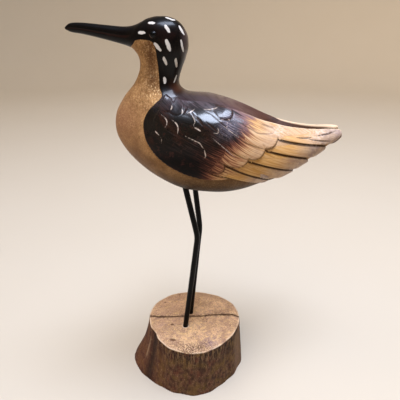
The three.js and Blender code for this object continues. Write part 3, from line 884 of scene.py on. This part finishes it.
# Finishes.
class Value:
    """A number in a finish, for plain arithmetic."""

    def __init__(self, finish, socket):
        self.finish = finish
        self.socket = socket

    def math(self, operation, *given):
        return self.finish.node("Math", dict(operation=operation), list(given))

    def __add__(self, other):
        return self.math("ADD", self, other)

    def __sub__(self, other):
        return self.math("SUBTRACT", self, other)

    def __rsub__(self, other):
        return self.math("SUBTRACT", other, self)

    def __mul__(self, other):
        return self.math("MULTIPLY", self, other)

    def __abs__(self):
        return self.math("ABSOLUTE", self)

    __radd__ = __add__
    __rmul__ = __mul__

    def over(self, low, high):
        """0 below low, 1 above high and a smooth step between. With low above high it falls."""
        between = {"Value": self, "From Min": low, "From Max": high}
        return self.finish.node("MapRange", dict(interpolation_type="SMOOTHSTEP"), between)


class Finish:
    """One material. Its nodes all come from one method, and a paint is six hex digits or a mix."""

    def __init__(self, name):
        self.material = bpy.data.materials.new(name)
        self.material.use_nodes = True
        self.material.node_tree.nodes.clear()
        self.place = self.node("TexCoord", output="Object")

    def node(self, kind, settings=None, sockets=None, output=0):
        """Adds a node of a kind, with its settings first and then the values or links of its sockets."""
        made = self.material.node_tree.nodes.new("ShaderNode" + kind)
        for name, setting in (settings or {}).items():
            if name == "stops":
                self.set_stops(made.color_ramp, setting)
            else:
                setattr(made, name, setting)
        given = enumerate(sockets) if isinstance(sockets, list) else (sockets or {}).items()
        for name, value in given:
            if isinstance(value, Value):
                self.material.node_tree.links.new(value.socket, made.inputs[name])
            else:
                made.inputs[name].default_value = colour(value) if isinstance(value, str) else value
        return Value(self, made.outputs[output]) if len(made.outputs) else made

    def set_stops(self, ramp, stops):
        while len(ramp.elements) < len(stops):
            ramp.elements.new(1)
        for element, (place, paint) in zip(ramp.elements, stops):
            element.position = place
            element.color = colour(paint)

    def read(self, name):
        return self.node("Attribute", dict(attribute_name=name), output="Fac")

    def vector(self, *numbers):
        return self.node("CombineXYZ", sockets=list(numbers))

    def stretched(self, *factors):
        return self.node("VectorMath", dict(operation="MULTIPLY"), {0: self.place, 1: factors})

    def noise(self, vector, scale, detail=3, roughness=0.55):
        sockets = {"Vector": vector, "Scale": scale, "Detail": detail, "Roughness": roughness}
        return self.node("TexNoise", sockets=sockets, output="Fac")

    def crackle(self, vector, scale):
        settings = dict(feature="DISTANCE_TO_EDGE")
        return self.node("TexVoronoi", settings, {"Vector": vector, "Scale": scale}, "Distance")

    def ramp(self, value, stops):
        return self.node("ValToRGB", dict(stops=stops), {"Fac": value}, "Color")

    def mix(self, below, above, share):
        return self.node("Mix", dict(data_type="RGBA"), {0: share, 6: below, 7: above}, 2)

    def coats(self, below, *coats):
        """Lays paints over one another. Each coat is a paint and the share of it that shows."""
        for paint, share in coats:
            below = self.mix(below, paint, share)
        return below

    def bump(self, height, depth):
        return self.node("Bump", sockets={"Height": height, "Distance": depth * MM}, output="Normal")

    def shade(self, sockets):
        surface = self.node("BsdfPrincipled", sockets=sockets)
        self.node("OutputMaterial", sockets={"Surface": surface})
        return self.material


def colour(code):
    """A colour given as six hex digits, as the renderer counts it."""
    parts = [int(code[i:i + 2], 16) / 255 for i in (0, 2, 4)]
    linear = [part / 12.92 if part <= 0.04045 else ((part + 0.055) / 1.055) ** 2.4 for part in parts]
    return (*linear, 1.0)


class CarvingFinish(Finish):
    """The bird's finish, with the patterns that its paints share."""

    def __init__(self):
        super().__init__("painted carving")
        self.tone, self.rise, self.tail = self.read("tone"), self.read("rise"), self.read("tail")
        self.valley, self.scuffed = self.read("valley"), self.read("scuffed")
        along, comb, number = self.read("along"), self.read("comb"), self.read("number") * 3.7
        self.broad = self.noise(self.place, 90, 4)
        self.blotches = self.noise(self.place, 240, 4, 0.7)
        self.fine = self.noise(self.place, 700, 3)
        self.cracks = self.crackle(self.place, 620).over(0.09, 0.02)
        self.streaks = self.noise(self.vector(along * 0.05, comb * 0.8, number), 1, 4, 0.7)
        self.barbs = self.noise(self.vector(along * 0.07, comb * 1.5, number), 1, 2).over(0.36, 0.64)
        self.cut = self.read("cut").over(-0.15, 0.2)
        self.on_head = self.rise.over(69, 73) * self.tail.over(-4, -8)
        ragged = (self.streaks - 0.5) * 1.5 + (self.barbs - 0.5) * 0.45 + (self.broad - 0.5) * 0.5
        self.edge = self.tone + ragged

    def tan_paint(self):
        """The tan breast: golden, browner beside the cap, pinker in front and darker below, where the
        belly's olive brown is deepened with painted shade.
        """
        mottle = self.noise(self.place, 560, 4, 0.7)
        grit = self.noise(self.place, 1150, 2)
        scratch = self.noise(self.stretched(1400, 1400, 240), 1, 2).over(0.56, 0.66)
        gritty = self.rise.over(30, 74) * 0.7 + 0.3
        belly = self.read("belly")
        return self.coats(
            "86603a",
            ("bc905f", self.broad.over(0.3, 0.7)),
            ("4b2a16", self.read("cheek") * 0.8),
            ("aa7c5c", self.read("breast") * 0.7),
            # The belly's olive brown, deepened with painted shade towards the bottom.
            ("25170a", belly),
            ("745848", self.read("under_breast") * 0.6),
            ("e0b57c", mottle.over(0.5, 0.72) * (0.42 - belly * 0.2) * gritty),
            ("35210f", mottle.over(0.5, 0.28) * gritty * 0.32),
            ("3d2611", grit.over(0.56, 0.7) * gritty * 0.45),
            ("d9b184", grit.over(0.42, 0.32) * gritty * 0.35),
            ("38220f", self.cracks * self.broad.over(0.3, 0.6) * 0.35),
            ("f0cf9c", scratch * self.read("scratched")),
        )

    def black_paint(self):
        """The wing's black, with red brown in it and a mauve painted sheen towards the back."""
        broad, streaks, barbs, tone, rise = self.broad, self.streaks, self.barbs, self.tone, self.rise
        # A mauve painted sheen over the back, in streaks, fainter towards the neck.
        bloom = self.mix("2c2427", "564a4f", streaks.over(0.4, 0.62))
        back_sheen = rise.over(58, 70) * (self.tail.over(-24, 4) * 0.65 + 0.35)
        return self.coats(
            "060303",
            ("2a120c", broad.over(0.48, 0.7) * streaks.over(0.35, 0.6)),
            ("23100c", barbs * broad.over(0.55, 0.4) * tone.over(-1.2, 0) * 0.5),
            ("3f201a", self.blotches.over(0.54, 0.68) * rise.over(62, 48) * 0.55),
            ("52403f", barbs.over(0.5, 1) * tone.over(-1.5, 0.2) * rise.over(34, 46) * 0.5),
            (bloom, back_sheen * broad.over(0.3, 0.6)),
        )

    def gold_paint(self):
        """The tail half of the wing: gold and brown along the barbs, worn at the feathers' tips."""
        tip, flight = self.read("tip"), self.read("flight")
        worn_tip = self.mix("b09a88", "8e7a74", self.blotches.over(0.42, 0.58))
        return self.coats(
            "c8944c",
            ("bf9974", self.read("pale")),
            ("9c7c4c", self.rise.over(44, 18) * 0.5),
            ("e0a958", self.streaks.over(0.46, 0.3) * 0.7),
            ("8d6344", self.streaks.over(0.5, 0.72) * 0.6),
            ("94683a", self.read("across").over(0, 6) * 0.38),
            ("6f4a33", self.barbs.over(0.5, 0.1) * (self.tone.over(2.4, 0.9) * 0.34 + 0.1)),
            ("f0d8b6", self.barbs * 0.22),
            ("d39c45", tip.over(0.75, 0.4) * flight * 0.3),
            (worn_tip, tip.over(0.52, 0.9) * (0.4 + self.broad) * (flight * 0.7 + 0.25)),
        )

    def wing_paint(self):
        """Black, then ragged streaks of brown, then gold, with the feathers' lines of painted shadow and
        stain, cuts darkened with painted shade, pale strokes along edges, a painted sheen with painted
        glints, and a whitish frost.
        """
        edge, tone = self.edge, self.tone
        brown = self.ramp(edge * 0.5 + 0.3, [
            (0.22, "120706"), (0.4, "3a2019"), (0.55, "6b4030"), (0.7, "9a6c4c"), (0.85, "b88b62"),
        ])
        # A mauve painted sheen over the upper part of the brown streaks.
        bloom = self.rise.over(48, 58) * edge.over(1.1, 0.6) * edge.over(0.1, 0.5)
        brown = self.mix(brown, "7d6468", bloom * 0.7)
        # How dark and wide the line under a feather's edge is: painted shadow with stain in it.
        shadow_and_stain_line = self.read("line")
        width = shadow_and_stain_line * 1.25 + 0.35
        line = self.read("near").over(width, width * 0.45) * shadow_and_stain_line.over(0, 0.5)
        cut_share = 0.85 - tone.over(0.6, 1.2) * 0.4 + self.tail.over(62, 74) * 0.35
        worn = self.read("worn").over(-0.15, 0.3) * self.fine.over(0.3, 0.5)
        # Pale specks in the painted sheen: painted glints.
        glint_specks = self.noise(self.place, 760, 2).over(0.6, 0.7) * self.scuffed
        frost = self.read("frosted") * (self.fine + self.broad).over(0.9, 1.15)
        return self.coats(
            self.black_paint(),
            (brown, edge.over(-0.4, 0.1)),
            # A mauve-grey painted sheen, broken by the barbs.
            ("87808d", self.scuffed * (self.barbs * 0.7 + 0.2) * edge.over(1, 0.4)),
            (self.gold_paint(), edge.over(0.75, 1.3)),
            ("35200a", line * tone.over(-0.2, 0.5) * (shadow_and_stain_line * 0.5 + 0.45)),
            # The cuts darkened with painted shade.
            ("2a170b", self.cut * cut_share),
            ("d2c0b0", worn * 0.85),
            ("cdb4ae", glint_specks * 0.8),
            ("e8d3c5", frost * 0.45),
        )

    def with_valley(self, wing):
        """The wing's paint with the valley between the wings, its brown deepened with painted shade, and
        its pale ridge, pale paint with a painted highlight along its edge.
        """
        # The valley's brown, deepened with painted shade.
        hollow = self.ramp(self.tail * 0.01, [
            (0, "362a2d"), (0.15, "4b3c3e"), (0.33, "5a403c"), (0.5, "4c2f23"), (0.9, "4a2f1d"),
        ])
        hollow = self.mix(hollow, "1f0e0a", self.streaks.over(0.45, 0.65) * 0.5)
        # A pale line along the ridge: pale paint, with a painted highlight along the ridge's edge.
        pale_ridge_and_highlight = abs(self.valley).over(0.9, 0.25) * (self.tail + self.streaks * 20).over(36, 76)
        return self.coats(wing, (hollow, self.valley.over(0.1, 0.7)), ("e2c4a2", pale_ridge_and_highlight * 0.95))

    def with_head(self, wing):
        """The wing's paint with the black cap, the mouth line, the white dabs, and the eye with a painted
        highlight on its lower front rim.
        """
        cap = self.mix("060303", "190b0a", self.broad.over(0.48, 0.7))
        cap = self.mix(cap, "5a3122", self.read("nape") * 0.5)
        mouth = self.read("mouth").over(0.5, 0.2) * self.read("bill")
        dab = (self.read("dab") + (self.fine - 0.5) * 0.5).over(-0.1, 0.25)
        eye = self.read("eye")
        # A grey arc on the eye's lower front rim: a painted highlight.
        under_eye = abs(eye + 0.4).over(0.25, 0.05) * self.read("under_eye").over(1.8, 2.8)
        return self.coats(
            wing,
            (cap, self.on_head),
            ("2c140f", mouth * 0.5),
            ("d4cec6", dab * (0.7 + self.broad * 0.4)),
            ("54433d", under_eye),
            ("020202", eye.over(-0.1, 0.1)),
        )


def carving_finish():
    f = CarvingFinish()
    dark_paint = f.with_head(f.with_valley(f.wing_paint()))
    painted = (f.read("dark") + (f.fine - 0.5) * 0.3).over(-0.1, 0.12)
    glossy = painted * f.edge.over(0.5, -0.2) * (1 - f.valley.over(0.1, 1.4) * f.tail.over(15, 40))
    dull = (f.read("shoulder") + f.scuffed).over(0, 0.9)
    varnish = glossy * f.rise.over(30, 54) * (0.9 - f.on_head * 0.7) * (1 - f.cut * 0.8)
    carved = f.barbs * f.tone.over(0.1, 0.8) * painted
    relief = carved * 0.6 + f.fine * 0.25 - f.cracks * (1 - painted) * 0.6 - f.cut * painted
    return f.shade({
        "Base Color": f.mix(f.tan_paint(), dark_paint, painted),
        "Roughness": 0.46 - glossy * 0.12,
        "Coat Weight": varnish * (1 - dull * 0.93),
        "Coat Roughness": 0.16,
        "Specular IOR Level": 0.09,
        "Normal": f.bump(relief, 0.12),
    })


def wire_finish():
    f = Finish("black wire")
    runs = f.noise(f.stretched(400, 400, 60), 1, 3)
    dull = f.noise(f.place, 500, 3)
    return f.shade({
        "Base Color": f.mix("040404", "0c0a09", runs.over(0.4, 0.7)),
        "Roughness": dull * 0.2 + 0.25,
        "Specular IOR Level": 0.1,
        "Normal": f.bump(runs, 0.15),
    })


class LogFinish(Finish):
    """The log's finish, with the patterns that its top and its side share."""

    def __init__(self):
        super().__init__("raw log")
        self.patches = self.noise(self.place, 100, 5, 0.65)
        self.clouds = self.noise(self.place, 420, 4, 0.7)
        self.specks = self.noise(self.place, 1100, 2)
        self.saw = self.noise(self.stretched(160, 1500, 1), 1, 2)
        self.threads = self.noise(self.stretched(640, 640, 110), 1, 4, 0.6)
        self.lumps = self.noise(self.stretched(380, 380, 200), 1, 4, 0.65)

    def sawn_top(self):
        """Peach with yellow and pink-grey clouds, dark specks and stains, painted shade in the crack and a
        pale worn rim.
        """
        patches, clouds = self.patches, self.clouds
        broad = self.noise(self.place, 60, 2)
        grains = self.noise(self.stretched(1, 1.2, 1), 900, 3, 0.7)
        front, rim, crack = self.read("front"), self.read("rim"), self.read("crack")
        worn_rim = rim.over(1.3, 0.5) * patches.over(0.35, 0.55) * (0.75 - front * 0.4)
        return self.coats(
            "b58f6f",
            ("dcb38c", patches.over(0.36, 0.62)),
            ("8d6c66", clouds.over(0.53, 0.66) * 0.6),
            ("efcb8f", clouds.over(0.47, 0.34) * 0.65),
            ("a57f70", patches.over(0.5, 0.62) * broad.over(0.45, 0.6) * 0.5),
            ("f0c890", self.read("heart") * clouds.over(0.56, 0.4) * 0.55),
            ("9b7767", self.read("weathered") * patches.over(0.4, 0.55) * 0.6),
            ("8a7078", self.read("bloom") * clouds.over(0.36, 0.56) * 0.7),
            ("f6dec0", grains.over(0.54, 0.68) * 0.55),
            ("5f4430", self.specks.over(0.56, 0.7) * 0.7),
            ("8a6749", self.saw.over(0.55, 0.7) * 0.3),
            ("3d2b1f", front * rim.over(14, 7) * grains.over(0.54, 0.46) * 0.85),
            ("9a7a5e", self.read("back") * rim.over(9, 2) * patches.over(0.35, 0.5) * 0.6),
            ("e6ccae", worn_rim),
            ("5a3c28", self.read("stain").over(0.1, 0.6) * 0.8),
            # A stain darkens the wood beside the crack, and painted shade darkens the crack itself.
            ("5a4132", crack.over(3.2, 0.8) * clouds.over(0.42, 0.6) * 0.75),
            ("3f2616", crack.over(1.2, 0.4) * 0.85),
            ("e2d4c0", self.read("glue").over(1.2, 0.4) * clouds.over(0.4, 0.6) * 0.7),
        )

    def rough_side(self):
        """Short upright strokes under the rim, then olive, brown and reddish patches."""
        patches, threads, drop = self.patches, self.threads, self.read("drop")
        strokes = self.noise(self.stretched(420, 420, 50), 1, 3, 0.6)
        return self.coats(
            "362016",
            ("664732", self.lumps.over(0.35, 0.65)),
            ("6b5124", patches.over(0.46, 0.62) * 0.6),
            ("653523", patches.over(0.46, 0.34) * 0.6),
            ("1d110a", drop.over(28, 2) * strokes.over(0.58, 0.46) * 0.9),
            ("8a6c4c", drop.over(24, 3) * threads.over(0.5, 0.62) * 0.6),
            ("6a3a2a", self.read("bill_side") * patches.over(0.3, 0.55) * 0.5),
            ("a08262", self.specks.over(0.56, 0.7) * self.lumps.over(0.4, 0.6) * 0.6),
            ("1f140e", self.read("dent") * 0.75),
            ("b39473", self.read("flake") * threads.over(0.35, 0.5) * 0.55),
            ("8a6f58", self.read("right_edge") * 0.5),
        )


def log_finish():
    f = LogFinish()
    up = f.read("up")
    bark = f.threads * 2 + f.lumps * 3
    sawn = f.saw * 0.5 + f.specks * 0.8 + f.clouds * 0.5
    return f.shade({
        "Base Color": f.mix(f.rough_side(), f.sawn_top(), up),
        "Roughness": 0.85,
        "Specular IOR Level": 0.25,
        "Normal": f.bump(bark * (1 - up) + sawn * up, 0.2),
    })


def floor_finish():
    f = Finish("pale floor")
    grain = f.noise(f.place, 6, 2)
    return f.shade({"Base Color": f.mix("c9bfae", "ffffff", grain * 0.04), "Roughness": 0.9})


# The studio, in metres.
def lay_floor():
    """A pale floor whose far edge curves up all round, so that no horizon shows."""
    flat, bend, wall, sides = 1.7, 0.8, 2.4, 96
    profile = [(flat / 2, 0)]
    for a in np.linspace(0, math.pi / 2, 13):
        profile.append((flat + bend * math.sin(a), bend * (1 - math.cos(a))))
    profile.append((flat + bend, wall))
    radius, height = np.array(profile).T[:, :, None]
    turn = np.linspace(0, 2 * math.pi, sides, endpoint=False)
    points = np.vstack([ring_spot(radius, turn, height).reshape(-1, 3), [0, 0, 0]])
    faces = grid_faces(len(profile), sides, closed=True)[:, ::-1].tolist()
    faces += [(len(points) - 1, k, (k + 1) % sides) for k in range(sides)]
    mesh = bpy.data.meshes.new("floor")
    mesh.from_pydata(points.tolist(), [], faces)
    mesh.polygons.foreach_set("use_smooth", [True] * len(faces))
    floor = bpy.data.objects.new("floor", mesh)
    bpy.context.scene.collection.objects.link(floor)
    mesh.materials.append(floor_finish())


def hang_light(name, azimuth, elevation, power, tint, size=None, spread=0):
    """A soft light seen from the bird at these angles. Azimuth 0 is towards -Y and 90 towards +X.

    A light without a size shines evenly from far away, and leaves no glint on the paint."""
    away = 1.2
    a, e = math.radians(azimuth), math.radians(elevation)
    back = Vector((math.sin(a) * math.cos(e), -math.cos(a) * math.cos(e), math.sin(e)))
    light = bpy.data.lights.new(name, "AREA" if size else "SUN")
    if size:
        light.shape = "RECTANGLE"
        light.size, light.size_y = size
    else:
        light.angle = math.radians(spread)
    light.energy = power
    light.color = colour(tint)[:3]
    lamp = bpy.data.objects.new(name, light)
    lamp.location = Vector((0, 0, HIPS * MM)) + away * back
    lamp.rotation_euler = back.to_track_quat("Z", "Y").to_euler()
    lamp.visible_glossy = bool(size)
    bpy.context.scene.collection.objects.link(lamp)


def light_studio():
    world = bpy.data.worlds.new("studio")
    world.use_nodes = True
    background = world.node_tree.nodes["Background"]
    background.inputs["Color"].default_value = colour("dcd8d2")
    background.inputs["Strength"].default_value = 0.4
    bpy.context.scene.world = world
    hang_light("lamp", 50, 77, 27, "dae6ff", size=(0.9, 0.4))
    hang_light("room", -35, 50, 1.7, "ffe9cf", spread=60)
    hang_light("far room", 160, 50, 0.5, "ffeedb", spread=60)


def set_camera():
    down, aside = 24, 8
    data = bpy.data.cameras.new("camera")
    data.sensor_width = data.lens = 36
    data.clip_start = 0.01
    camera = bpy.data.objects.new("camera", data)
    camera.location = (0.0435, -0.2776, 0.288)
    camera.rotation_euler = (math.radians(90 - down), 0, math.radians(aside))
    bpy.context.scene.collection.objects.link(camera)
    bpy.context.scene.camera = camera
    bpy.context.scene.view_settings.view_transform = "Standard"


carve_bird(carving_finish())
wire = wire_finish()
for number, (name, spec) in enumerate(LEGS.items()):
    bend_leg(name, spec, wire, np.random.default_rng(LEG_SEED + number))
build_log(log_finish())
lay_floor()
light_studio()
set_camera()
